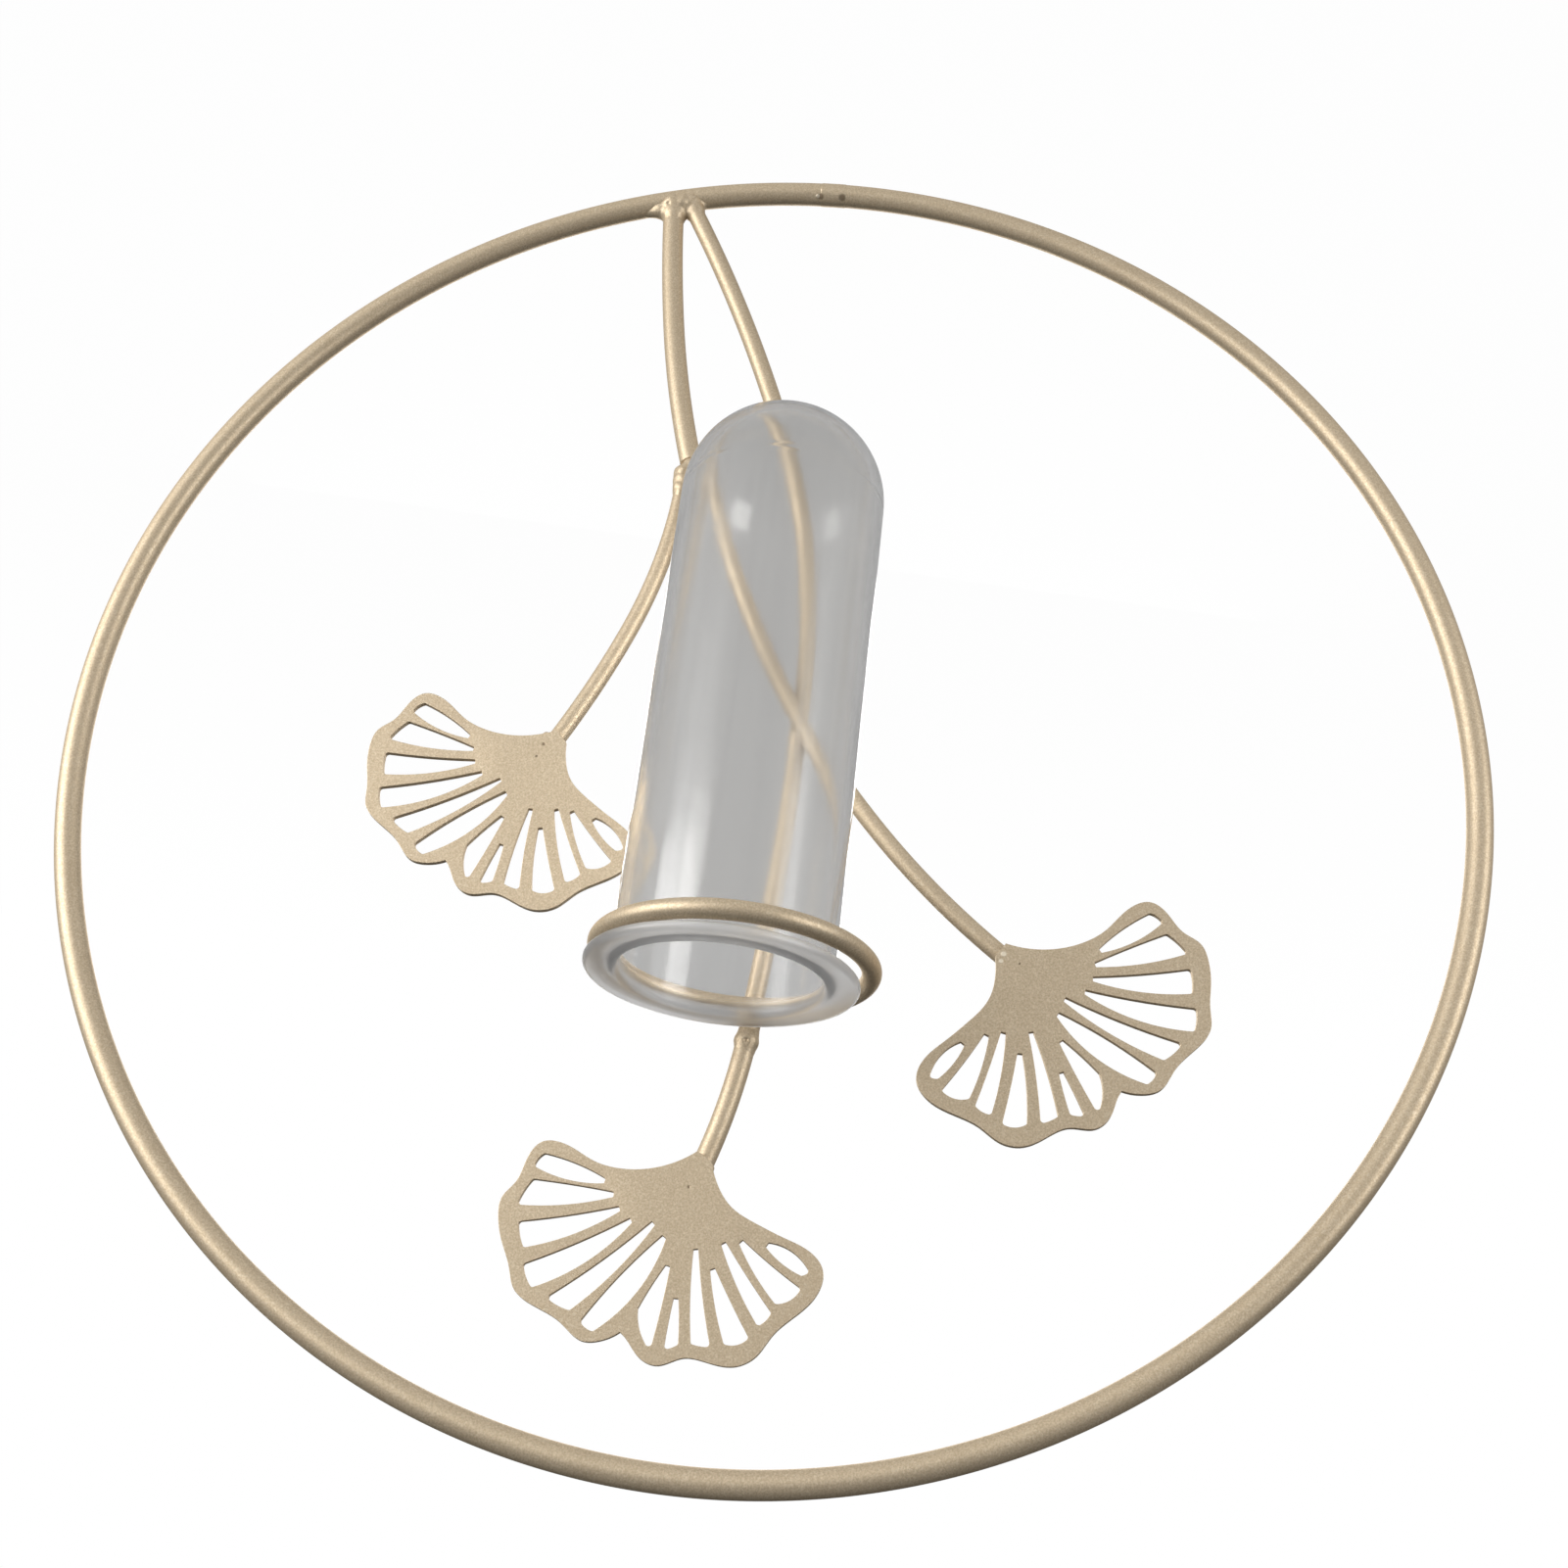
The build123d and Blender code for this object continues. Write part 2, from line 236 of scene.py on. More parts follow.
def gold_paint(name, marks=(), shade_hollows=False):
    """Satin paint with metal flakes, marks of (point, radius, rise) and painted shade in hollows.
    """
    finish = Finish(name)
    sand = finish.speckle(SAND_SIZE, 3.0)
    cloud = finish.speckle(CLOUD_SIZE, 3.0)
    cells = {"Vector": finish.place, "Scale": 1 / FLAKE_SIZE}
    flakes = finish.out("ShaderNodeTexVoronoi", "Color", {"feature": "F1"}, cells)
    flake_pick = finish.out("ShaderNodeSeparateColor", "Red", values={"Color": flakes})
    bright = finish.ease(flake_pick, 0.72, 0.95)
    colour = finish.tint(finish.ease(sand, 0.30, 0.70, 0.55, 1.0), PAINT_DARK, PAINT)
    colour = finish.tint(bright * FLAKE_SHARE, colour, PAINT_FLAKE_AND_HIGHLIGHT)
    colour = finish.tint(finish.ease(cloud, 0.55, 0.75, 0.0, CLOUD_SHARE), colour, PAINT_DARK)
    height = sand * 0.7 + bright * 0.2
    # A dent mark gets painted shade and a bump mark a painted highlight, besides its small relief.
    for point, radius, rise in marks:
        mark = finish.near(Vector(point) * mm, radius * mm)
        colour = finish.tint(mark * MARK_PAINTED_LIGHT_SHARE, colour, PAINT_FLAKE_AND_HIGHLIGHT if rise > 0 else PAINTED_SHADE_COLOUR)
        height = height + mark * (MARK_HEIGHT * rise)
    # Painted shade: the paint is darkened where the surface bends inward, in hollows and creases.
    if shade_hollows:
        bend = finish.out("ShaderNodeNewGeometry", "Pointiness")
        hollow_shade = finish.ease(bend, 0.40, 0.48, PAINTED_SHADE_SHARE, 0.0)
        colour = finish.tint(hollow_shade, colour, PAINTED_SHADE_COLOUR)
    paint = finish.out(
        "ShaderNodeBsdfPrincipled", "BSDF", None,
        {
            "Base Color": colour,
            "Metallic": 0.5,
            "Roughness": finish.ease(sand, 0.2, 0.8, 0.53, 0.42),
            "IOR": 1.45,
            "Specular IOR Level": 0.5,
            "Specular Tint": PAINT_SHEEN,
            "Normal": finish.bump(height, GRAIN_HEIGHT),
        },
    )
    return finish.end(paint)


rod_paint = gold_paint("gold_paint")
print("paint nodes:", len(rod_paint.node_tree.nodes))

# %% [markdown]
# ## The hoop
#
# The hoop is a rod rolled to a circle. A spin does the same: the rod's round section is turned
# once about the hoop's middle, and the last section is merged with the first. Two pores and a
# spatter mark the place where its ends were welded. The pores are dents with painted shade in
# them, and the spatter is a bump with a painted highlight.


# %% Hoop
RING_SIDES = 40
HOOP_STEPS = 720
# Seam marks: the two pores are dents with painted shade, the last mark a bump with a painted
# highlight.
seam_pores = [
    ((2.7, -1.6, -270.55), 0.90, -1),
    ((-2.1, -1.65, -270.6), 1.05, -1),
    ((3.4, -1.7, -270.6), 0.55, 1),
]
hoop_paint = gold_paint("hoop_paint", marks=seam_pores)


def rod_section(bm, middle, heading, radius, sides):
    """Draw a rod's round section across its heading and return the points and edges of it."""
    turned = heading.to_track_quat("Z", "Y").to_matrix().to_4x4()
    matrix = Matrix.Translation(middle) @ turned
    circle = bmesh.ops.create_circle(bm, segments=sides, radius=radius, matrix=matrix)["verts"]
    return circle + list({edge for vert in circle for edge in vert.link_edges})


def ring_of_rod(centre, axis, mid_radius, rod_radius, steps):
    """A rod bent to a closed ring about an axis through its centre."""
    bm = bmesh.new()
    out = axis.cross(Vector((1, 0, 0))).normalized()
    rim = rod_section(bm, centre + out * mid_radius, axis.cross(out), rod_radius, RING_SIDES)
    bmesh.ops.spin(
        bm, geom=rim, cent=centre, axis=axis, angle=2 * pi, steps=steps, use_merge=True
    )
    return bm


hoop_bm = ring_of_rod(hoop_centre, front, hoop_mid_radius, hoop_rod_radius, HOOP_STEPS)
keep(hoop_bm, "hoop_rod", "frame", ["hoop"], hoop_paint)

# %% [markdown]
# ## Bent rods
#
# Each stem is one rod, bent by hand into a few arcs that run on from each other. The first arc goes
# through three points, and each later one starts in the direction in which the last one ended.
# The rod is drawn by spinning its section about the middle of each arc in turn, which is what a
# bending roll does to it. The points are shares of the hoop's mid radius.


# %% Arcs that run on from each other
Arc = namedtuple("Arc", "start middle turn")
Route = namedtuple("Route", "arcs end ahead")


def turn_about(middle, start, end):
    """Angle from one point to another about a middle, the short way round."""
    first, last = Vector(start) - middle, Vector(end) - middle
    return atan2(first.x * last.y - first.y * last.x, first.dot(last))


def arc_through(start, through, end):
    """Arc through three points."""
    ax, ay = start
    bx, by = through
    cx, cy = end
    double = 2 * (ax * (by - cy) + bx * (cy - ay) + cx * (ay - by))
    a2, b2, c2 = ax * ax + ay * ay, bx * bx + by * by, cx * cx + cy * cy
    middle = Vector((
        (a2 * (by - cy) + b2 * (cy - ay) + c2 * (ay - by)) / double,
        (a2 * (cx - bx) + b2 * (ax - cx) + c2 * (bx - ax)) / double,
    ))
    return Arc(start, middle, turn_about(middle, start, end))


def arc_from(start, ahead, end):
    """Arc that leaves start in a direction and reaches end."""
    chord = end - start
    left = Vector((-ahead.y, ahead.x))
    middle = start + left * (chord.length_squared / (2 * chord.dot(left)))
    return Arc(start, middle, turn_about(middle, start, end))


def direction_at(arc, point):
    """Direction of travel on an arc at one of its points."""
    out = (Vector(point) - arc.middle).normalized()
    return Vector((-out.y, out.x)) * (1 if arc.turn > 0 else -1)


def arc_length(arc):
    """Length along an arc."""
    return (arc.start - arc.middle).length * abs(arc.turn)


def route_length(route):
    """Length of all arcs of a route."""
    return sum(arc_length(arc) for arc in route.arcs)


def bend(points, ahead=None):
    """A route of arcs through the points. Without a first direction, three points give it."""
    arcs = []
    points = [Vector(point) for point in points]
    if ahead is None:
        start, through, end, *rest = points
        arcs.append(arc_through(start, through, end))
        ahead = direction_at(arcs[-1], end)
    else:
        end, *rest = points
    for point in rest:
        arcs.append(arc_from(end, ahead, point))
        ahead = direction_at(arcs[-1], point)
        end = point
    return Route(arcs, end, ahead)


# %% The routes of the five rods
def in_hoop(*shares):
    """Points of the hoop's plane, at shares of its mid radius."""
    return [(across * hoop_mid_radius, up * hoop_mid_radius) for across, up in shares]


def place(point, depth=0.0):
    """A point of the hoop's plane as a point of the object, some way in front of the plane."""
    return hoop_centre + Vector((point[0], -depth, point[1]))


trunk_route = bend(
    in_hoop((0.260, -0.964), (0.244, -0.820), (0.226, -0.704), (0.168, -0.462))
)
stem_route = bend(
    in_hoop((0.236, -0.970), (0.110, -0.718), (0.021, -0.493), (-0.052, -0.060), (-0.022, 0.441))
)
fork = trunk_route.end
right_foot = fork + Vector((0.9, 2.1)) * mm
left_foot = fork + Vector((-1.8, 4.1)) * mm
branch_right_route = bend(
    [right_foot, *in_hoop((0.190, -0.284), (0.224, -0.159), (0.3205, 0.0575))]
)
branch_left_route = bend(
    [left_foot, *in_hoop((0.097, -0.291), (0.021, -0.139), (-0.179, 0.141), (-0.385, 0.321))]
)
top_twig_route = bend([stem_route.end, *in_hoop((0.0275, 0.646))], stem_route.ahead)
print("stem ends at", [round(value / mm, 1) for value in stem_route.end], "from the hoop's centre")


# %% Rods
ROD_STEP = 0.7 * mm
ROD_SIDES = 36
ROD_BLUNT = 0.25 * mm


def bent_rod(name, route, radius, depth=0.0):
    """Spin a rod's section along its arcs, close both ends and soften their rims."""
    bm = bmesh.new()
    first = route.arcs[0]
    ahead = direction_at(first, first.start)
    heading = Vector((ahead.x, 0, ahead.y))
    rim = rod_section(bm, place(first.start, depth), heading, radius, ROD_SIDES)
    for arc in route.arcs:
        spun = bmesh.ops.spin(
            bm, geom=rim, cent=place(arc.middle, depth), axis=front, angle=arc.turn,
            steps=max(4, ceil(arc_length(arc) / ROD_STEP)), use_merge=False,
        )
        rim = spun["geom_last"]
    bmesh.ops.remove_doubles(bm, verts=bm.verts, dist=merge_distance)
    open_edges = [edge for edge in bm.edges if edge.is_boundary]
    caps = bmesh.ops.holes_fill(bm, edges=open_edges, sides=ROD_SIDES + 2)["faces"]
    rims = list({edge for cap in caps for edge in cap.edges})
    bmesh.ops.bevel(
        bm, geom=rims, offset=ROD_BLUNT, segments=3, profile=0.5, affect="EDGES", material=-1
    )
    print(f"{name}: {route_length(route) / mm:.0f} mm of {2 * radius / mm:.1f} mm rod")
    keep(bm, f"{name}_rod", "frame", [name], rod_paint)


bent_rod("trunk", trunk_route, trunk_radius)
bent_rod("stem", stem_route, stem_radius)
bent_rod("branch_right", branch_right_route, branch_radius)
bent_rod("branch_left", branch_left_route, branch_radius, lap_depth)
bent_rod("top_twig", top_twig_route, stem_radius)

# %% [markdown]
# ## The ring that holds the tube
#
# A closed wire ring stands out from the stem and leans forward by a degree or two. It is made as
# the hoop is, about the line on which the tube lifts out.

# %% Holder ring
HOLDER_STEPS = 180
lift_line = Matrix.Rotation(lean, 3, "X") @ Vector((0, 0, 1))
ring_bm = ring_of_rod(holder_centre, lift_line, holder_mid_radius, holder_wire_radius, HOLDER_STEPS)
keep(ring_bm, "holder_wire", "frame", ["holder_ring"], rod_paint)

# %% [markdown]
# ## Fan leaves
#
# The three leaves are cut from thin sheet, with thirteen slots that fan out from the tongue. The
# outline is the CAD node's own, so a copy of that mesh is merged, and every sharp rim gets a small
# bevel. The rim is what catches the light on a real cut edge. The faces stay flat, because edges
# that turn by more than 14 degrees are kept sharp. A few pores and weld spatters mark the tongues:
# the pores as dents with painted shade, the spatters as bumps with a painted highlight.


# %% Leaves
RIM_TURN = radians(60)
RIM_BEVEL = 0.14 * mm
LEAF_CREASE = radians(14)


def cut_leaf(name, marks):
    """Copy a leaf's solid, merge its triangles and take the sharpness off its rims."""
    bm = bmesh.new()
    bm.from_mesh(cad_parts[name].data)
    bmesh.ops.remove_doubles(bm, verts=bm.verts, dist=merge_distance)
    inner_edges = [edge for edge in bm.edges if len(edge.link_faces) == 2]
    rims = [edge for edge in inner_edges if edge.calc_face_angle() > RIM_TURN]
    bmesh.ops.bevel(
        bm, geom=rims, offset=RIM_BEVEL, segments=2, profile=0.5, affect="EDGES", material=-1,
        clamp_overlap=True,
    )
    paint = gold_paint(f"{name}_paint", marks=marks)
    keep(
        bm, f"{name}_blade", "frame", [name], paint,
        merge=leaf_merge_distance, crease=LEAF_CREASE,
    )


# Leaf marks: a negative rise is a dent with painted shade, a positive one a bump with a painted
# highlight.
right_marks = [((43.2, -2.95, -129.4), 0.45, -1), ((44.2, -2.95, -126.7), 0.35, -1)]
left_marks = [
    ((-48.6, -6.65, -93.4), 0.65, 1),
    ((-48.2, -6.65, -92.0), 0.55, 1),
    ((-51.6, -6.65, -91.8), 0.30, -1),
]
top_marks = [((3.8, -3.15, -46.0), 0.35, -1)]
cut_leaf("leaf_right", right_marks)
cut_leaf("leaf_left", left_marks)
cut_leaf("leaf_top", top_marks)

# %% [markdown]
# ## Welds
#
# A weld is a bead of metal that was liquid: lumps that run into each other and wet the rods in a
# smooth toe. Round lumps and short tapered collars round the rods are remeshed into one skin,
# which is then smoothed and made a little uneven. Pores are pushed into it at their own places.
# How far a lump or a collar stands past its rod is in millimetres, judged from the photo.

# %% Weld beads
WELD_GRID = 0.16 * mm
WELD_SMOOTHINGS = 36
COARSE_LUMPS = 1.8 * mm
FINE_LUMPS = 0.6 * mm
COLLAR_SIDES = 32
sink = 0.15 * mm
# The weld paint has painted shade in its hollows and creases.
weld_paint = gold_paint("weld_paint", shade_hollows=True)
print("weld paint nodes:", len(weld_paint.node_tree.nodes))


def lump(bm, centre, radius):
    """Add a round lump of weld metal."""
    matrix = Matrix.Translation(centre)
    bmesh.ops.create_icosphere(bm, subdivisions=4, radius=radius, matrix=matrix)


def collar(bm, start, end, start_radius, end_radius):
    """Add a tapered collar along a rod, from one point to another."""
    turned = (end - start).to_track_quat("Z", "Y").to_matrix().to_4x4()
    middle = Matrix.Translation((start + end) / 2) @ turned
    bmesh.ops.create_cone(
        bm, cap_ends=True, cap_tris=False, segments=COLLAR_SIDES, radius1=start_radius,
        radius2=end_radius, depth=(end - start).length, matrix=middle,
    )


def melted(bm, name):
    """Remesh the lumps of a bead into one skin."""
    rough = bpy.data.meshes.new(f"{name}_lumps")
    bm.to_mesh(rough)
    bm.free()
    lumps = bpy.data.objects.new(f"{name}_lumps", rough)
    bpy.context.scene.collection.objects.link(lumps)
    melt = lumps.modifiers.new("melt", "REMESH")
    melt.mode = "VOXEL"
    melt.voxel_size = WELD_GRID
    graph = bpy.context.evaluated_depsgraph_get()
    skin = bmesh.new()
    skin.from_mesh(lumps.evaluated_get(graph).to_mesh())
    bpy.data.objects.remove(lumps)
    return skin


def bead(name, node, bm, passes=WELD_SMOOTHINGS, uneven=0.12 * mm, pores=()):
    """Melt the lumps into one skin, smooth it, make it uneven and push the pores in."""
    skin = melted(bm, name)
    for _ in range(passes):
        bmesh.ops.smooth_vert(
            skin, verts=skin.verts, factor=0.5, use_axis_x=True, use_axis_y=True, use_axis_z=True
        )
    skin.normal_update()
    for vert in skin.verts:
        coarse = noise.noise(vert.co / COARSE_LUMPS)
        rise = uneven * (coarse + 0.15 * noise.noise(vert.co / FINE_LUMPS))
        for pore, pore_radius in pores:
            nearness = max(0.0, 1 - (vert.co - pore).length / pore_radius)
            rise -= 0.8 * pore_radius * nearness * nearness
        vert.co += vert.normal * rise
    keep(skin, name, "frame", [node], weld_paint)


def on_route(route, distance, depth=0.0):
    """Point at a distance along a route, and the direction there."""
    arcs = list(route.arcs)
    while len(arcs) > 1 and distance > arc_length(arcs[0]):
        distance -= arc_length(arcs.pop(0))
    arc = arcs[0]
    arm = arc.start - arc.middle
    angle = distance / arm.length * (1 if arc.turn > 0 else -1)
    across = arm.x * cos(angle) - arm.y * sin(angle)
    up = arm.x * sin(angle) + arm.y * cos(angle)
    point = arc.middle + Vector((across, up))
    ahead = direction_at(arc, point)
    return place(point, depth), Vector((ahead.x, 0, ahead.y))


def on_hoop(beside, along, inward=0.0):
    """Point of the hoop's rod at some length along it from a point, and inward of its middle."""
    angle = atan2(beside.x, hoop_centre.z - beside.z) + along / hoop_mid_radius
    return hoop_centre + Vector((sin(angle), 0, -cos(angle))) * (hoop_mid_radius - inward)


# %% The weld at the foot of the stems
foot_distance = 1.4 * mm
shin_distance = 3.4 * mm
toe_radius = 1.35 * mm
root_bm = bmesh.new()
trunk_foot, _ = on_route(trunk_route, foot_distance)
trunk_shin, trunk_up = on_route(trunk_route, shin_distance)
stem_foot, _ = on_route(stem_route, foot_distance)
stem_shin, stem_up = on_route(stem_route, shin_distance)
lump(root_bm, trunk_foot + front * 0.45 * mm, 2.85 * mm)
lump(root_bm, stem_foot + front * 0.35 * mm, 2.55 * mm)
lump(root_bm, (trunk_foot + stem_foot) / 2 + front * 0.75 * mm, 2.6 * mm)
lump(root_bm, trunk_shin, trunk_radius + 0.60 * mm)
lump(root_bm, stem_shin, stem_radius + 0.45 * mm)
trunk_knee = trunk_shin + trunk_up * 3.0 * mm
stem_knee = stem_shin + stem_up * 2.6 * mm
collar(root_bm, trunk_shin, trunk_knee, trunk_radius + 0.45 * mm, trunk_radius - sink)
collar(root_bm, stem_shin, stem_knee, stem_radius + 0.35 * mm, stem_radius - sink)
right_heel = on_hoop(trunk_foot, 0.5 * mm, 1.9 * mm)
right_toe = on_hoop(trunk_foot, 7.0 * mm, 1.1 * mm)
left_heel = on_hoop(stem_foot, -0.5 * mm, 1.3 * mm)
left_toe = on_hoop(stem_foot, -4.0 * mm, 1.1 * mm)
collar(root_bm, right_heel, right_toe, 2.6 * mm, toe_radius)
collar(root_bm, left_heel, left_toe, 2.1 * mm, toe_radius)
lump(root_bm, on_hoop(trunk_foot, 2.2 * mm, 2.4 * mm), 1.9 * mm)
root_pore = (Vector((36.5, -2.6, -265.2)) * mm, 0.8 * mm)
bead("root_bead", "root_weld", root_bm, uneven=0.16 * mm, pores=[root_pore])

# %% The weld at the fork
fork_bm = bmesh.new()
trunk_tip, trunk_ahead = on_route(trunk_route, route_length(trunk_route))
lump(fork_bm, trunk_tip + trunk_ahead * 1.3 * mm, trunk_radius + 0.15 * mm)
for distance, radius in ((0.8, 2.45), (2.6, 2.40), (4.4, 2.20)):
    lump(fork_bm, on_route(branch_right_route, distance * mm)[0], radius * mm)
right_on, right_ahead = on_route(branch_right_route, 4.6 * mm)
collar(fork_bm, right_on, right_on + right_ahead * 3.6 * mm, 2.15 * mm, branch_radius - sink)
left_on, left_ahead = on_route(branch_left_route, 0.0, lap_depth)
left_collar_radius = branch_radius + 0.35 * mm
lump(fork_bm, left_on + left_ahead * 0.3 * mm, branch_radius + 0.45 * mm)
lump(fork_bm, left_on + left_ahead * 0.4 * mm - front * 1.7 * mm, left_collar_radius)
collar(
    fork_bm, left_on, left_on + left_ahead * 3.5 * mm, left_collar_radius, branch_radius - sink
)
bead("fork_bead", "fork_weld", fork_bm, uneven=0.20 * mm)


# %% The weld where the left branch crosses the stem
def apart(distances):
    """How far the stem and the left branch are from each other at two distances along them."""
    up_stem, along_branch = distances
    return (on_route(stem_route, up_stem)[0] - on_route(branch_left_route, along_branch)[0]).length


tries = [(i * mm, j * mm) for i in range(110, 150) for j in range(50, 90)]
on_stem, on_branch = min(tries, key=apart)
crossing, crossing_up = on_route(stem_route, on_stem)
crossing_place = (round(on_stem / mm), round(on_branch / mm))
print("rods cross", crossing_place, "mm up the stem and the left branch")
crossing_bm = bmesh.new()
lump(crossing_bm, crossing + front * lap_depth / 2, 2.2 * mm)
for rise, radius in ((1.6, 2.35), (3.2, 2.30), (4.6, 2.15)):
    lump(crossing_bm, crossing + crossing_up * rise * mm + front * 0.35 * mm, radius * mm)
collar_start = crossing + crossing_up * 4.6 * mm
collar_end = crossing + crossing_up * 7.6 * mm
collar(crossing_bm, collar_start, collar_end, 2.2 * mm, stem_radius - sink)
bead("crossing_bead", "crossing_weld", crossing_bm)

# %% The welds of the holder ring and the top twig
holder_bm = bmesh.new()
holder_low, holder_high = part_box("holder_weld")
touch = (Vector(holder_low) + Vector(holder_high)) / 2
for aside, radius in ((-2.7, 1.35), (-1.4, 1.9), (0, 2.2), (1.4, 1.9), (2.7, 1.35)):
    lump(holder_bm, touch + Vector((aside, 0, 0)) * mm, radius * mm)
bead("holder_bead", "holder_weld", holder_bm)

twig_bm = bmesh.new()
stem_end, stem_end_ahead = on_route(stem_route, route_length(stem_route))
lump(twig_bm, stem_end, stem_radius + 0.50 * mm)
for way in (-1, 1):
    reach = stem_end_ahead * (way * 3.2 * mm)
    collar(twig_bm, stem_end, stem_end + reach, stem_radius + 0.40 * mm, stem_radius - sink)
twig_pore = (Vector((-3.2, -2.4, -73.9)) * mm, 0.8 * mm)
bead("twig_bead", "twig_weld", twig_bm, pores=[twig_pore])


# %% The welds on the backs of the leaves
def leaf_bead(name, route, radius, depth=0.0):
    """Two rows of weld ripples in the corners between a rod's last stretch and the leaf's back."""
    bm = bmesh.new()
    length = route_length(route)
    for ripple in range(8):
        point, ahead = on_route(route, length - (4.6 - 0.65 * ripple) * mm, depth)
        across = ahead.cross(front)
        for side in (-1, 1):
            swell = (0.85 + 0.10 * cos(2.4 * ripple + side)) * mm
            beside = point + across * (side * 0.85 * radius)
            lump(bm, beside + front * (radius - 0.35 * mm), swell)
    tip, ahead = on_route(route, length, depth)
    lump(bm, tip + ahead * 0.2 * mm + front * (radius - 0.5 * mm), 1.15 * mm)
    bead(f"{name}_bead", f"{name}_weld", bm, passes=6, uneven=0.06 * mm)


leaf_bead("leaf_right", branch_right_route, branch_radius)
leaf_bead("leaf_left", branch_left_route, branch_radius, lap_depth)
leaf_bead("leaf_top", top_twig_route, stem_radius)

# %% [markdown]
# ## The seam of the hoop
#
# The hoop's two ends meet at its lowest point. The butt weld has been ground almost flush, so what
# is left is a faint sleeve with a small pore at each end. A stretch of the hoop's section is
# spun a little thicker than the rod, and its two ends are drawn in below the rod's skin. The pores
# are marks in the hoop's paint, which the seam has too: small dents with painted shade in them,
# beside a spatter that is a bump with a painted highlight.

# %% Seam
seam_half = 3.0 * mm
seam_radius = hoop_rod_radius + 0.07 * mm
drawn_in = 0.13 * mm
drawn_from = 0.86
SEAM_SIDES = 64
seam_bm = bmesh.new()
seam_start = on_hoop(hoop_centre - Vector((0, 0, hoop_mid_radius)), -seam_half)
seam_rim = rod_section(seam_bm, seam_start, Vector((1, 0, 0)), seam_radius, SEAM_SIDES)
bmesh.ops.spin(
    seam_bm, geom=seam_rim, cent=hoop_centre, axis=front, angle=2 * seam_half / hoop_mid_radius,
    steps=48, use_merge=False,
)
for vert in seam_bm.verts:
    skin_middle = on_hoop(vert.co, 0.0)
    out = vert.co - skin_middle
    end = max(0.0, abs(vert.co.x) / seam_half - drawn_from) / (1 - drawn_from)
    shrink = drawn_in * end - 0.025 * mm * noise.noise(vert.co / (0.9 * mm))
    vert.co = skin_middle + out.normalized() * (out.length - shrink)
keep(seam_bm, "hoop_seam", "frame", ["hoop_seam_weld"], hoop_paint)

# %% [markdown]
# ## Glass tube
#
# The tube is blown from drawn glass: one even wall, a round bottom and a rolled lip that rests on
# the ring. Half of its cross-section is drawn as a line, the corners of the lip are rounded, and
# the line is spun once about the tube's middle, so that the glass has a true inner and outer face.

# %% The tube's wall
outer_radius = 19.6 * mm
inner_radius = 17.8 * mm
lip_radius = 24.0 * mm
lip_thickness = 1.9 * mm
dome_height = -96.5 * mm
tube_place = Matrix.Translation(tube_seat) @ Matrix.Rotation(lean, 4, "X")
DOME_STEPS = 36
TUBE_STEPS = 160

tube_bm = bmesh.new()
wall_line = [
    (outer_radius, dome_height), (outer_radius, 0), (lip_radius, 0), (lip_radius, lip_thickness),
    (inner_radius, lip_thickness), (inner_radius, dome_height),
]
wall = [tube_bm.verts.new((across, 0, up)) for across, up in wall_line]
for low, high in zip(wall, wall[1:]):
    tube_bm.edges.new((low, high))
cove, lip_under, lip_over, mouth = wall[1:5]
for corner, rounding in ((cove, 1.4), (lip_under, 0.90), (lip_over, 0.90), (mouth, 1.2)):
    bmesh.ops.bevel(
        tube_bm, geom=[corner], offset=rounding * mm, segments=8, profile=0.5,
        affect="VERTICES", material=-1,
    )
for vert in (wall[0], wall[-1]):
    bmesh.ops.spin(
        tube_bm, geom=[vert], cent=(0, 0, dome_height), axis=(0, 1, 0), angle=pi / 2,
        steps=DOME_STEPS,
    )
lowest = min(vert.co.z for vert in tube_bm.verts)
print("wall line:", len(tube_bm.verts), "points, lowest", round(lowest / mm, 1))

# %% [markdown]
# ## The glass
#
# The glass is clear and a little dull: it shows faint streaks along the tube, because it was drawn,
# and a thin line where the round bottom begins. The roughness softens what is seen through it, most
# of all in the lip. A very small part of it, 1.5 percent, is milky. Rays that go to the lamps pass
# straight through, as thin glass would let them, so the rods behind the tube are lit.

# %% The glass finish
GLASS = (0.90, 0.895, 0.885, 1.0)
GLASS_STREAK = (0.83, 0.825, 0.815, 1.0)
GLASS_SHADOW = (0.93, 0.93, 0.93, 1.0)
STREAK_SIZE = 1.3 * mm
STREAK_STRETCH = 80
WAVE_SIZE = 9 * mm
LINE_HALF = 0.7 * mm
LIP_BLEND = 2.5 * mm
GLASS_RELIEF = 0.10 * mm
glass = Finish("clear_glass")
as_texture = {"vector_type": "TEXTURE"}
at_tube = glass.out(
    "ShaderNodeMapping", "Vector", as_texture,
    {"Vector": glass.place, "Location": tube_seat, "Rotation": (lean, 0, 0)},
)
drawn = glass.out(
    "ShaderNodeMapping", "Vector", as_texture,
    {"Vector": at_tube, "Scale": (1, 1, STREAK_STRETCH)},
)
height = glass.out("ShaderNodeSeparateXYZ", "Z", values={"Vector": at_tube})
lip = glass.ease(height, -LIP_BLEND, 0.0)
streaks = glass.speckle(STREAK_SIZE, 3.0, drawn) * (1 - lip)
waves = glass.speckle(WAVE_SIZE, 1.0)
dull = glass.ease(streaks, 0.45, 0.75)
above_dome = height - dome_height
line = glass.ease(above_dome.maths("ABSOLUTE", above_dome), 0.0, LINE_HALF, 1.0, 0.0)
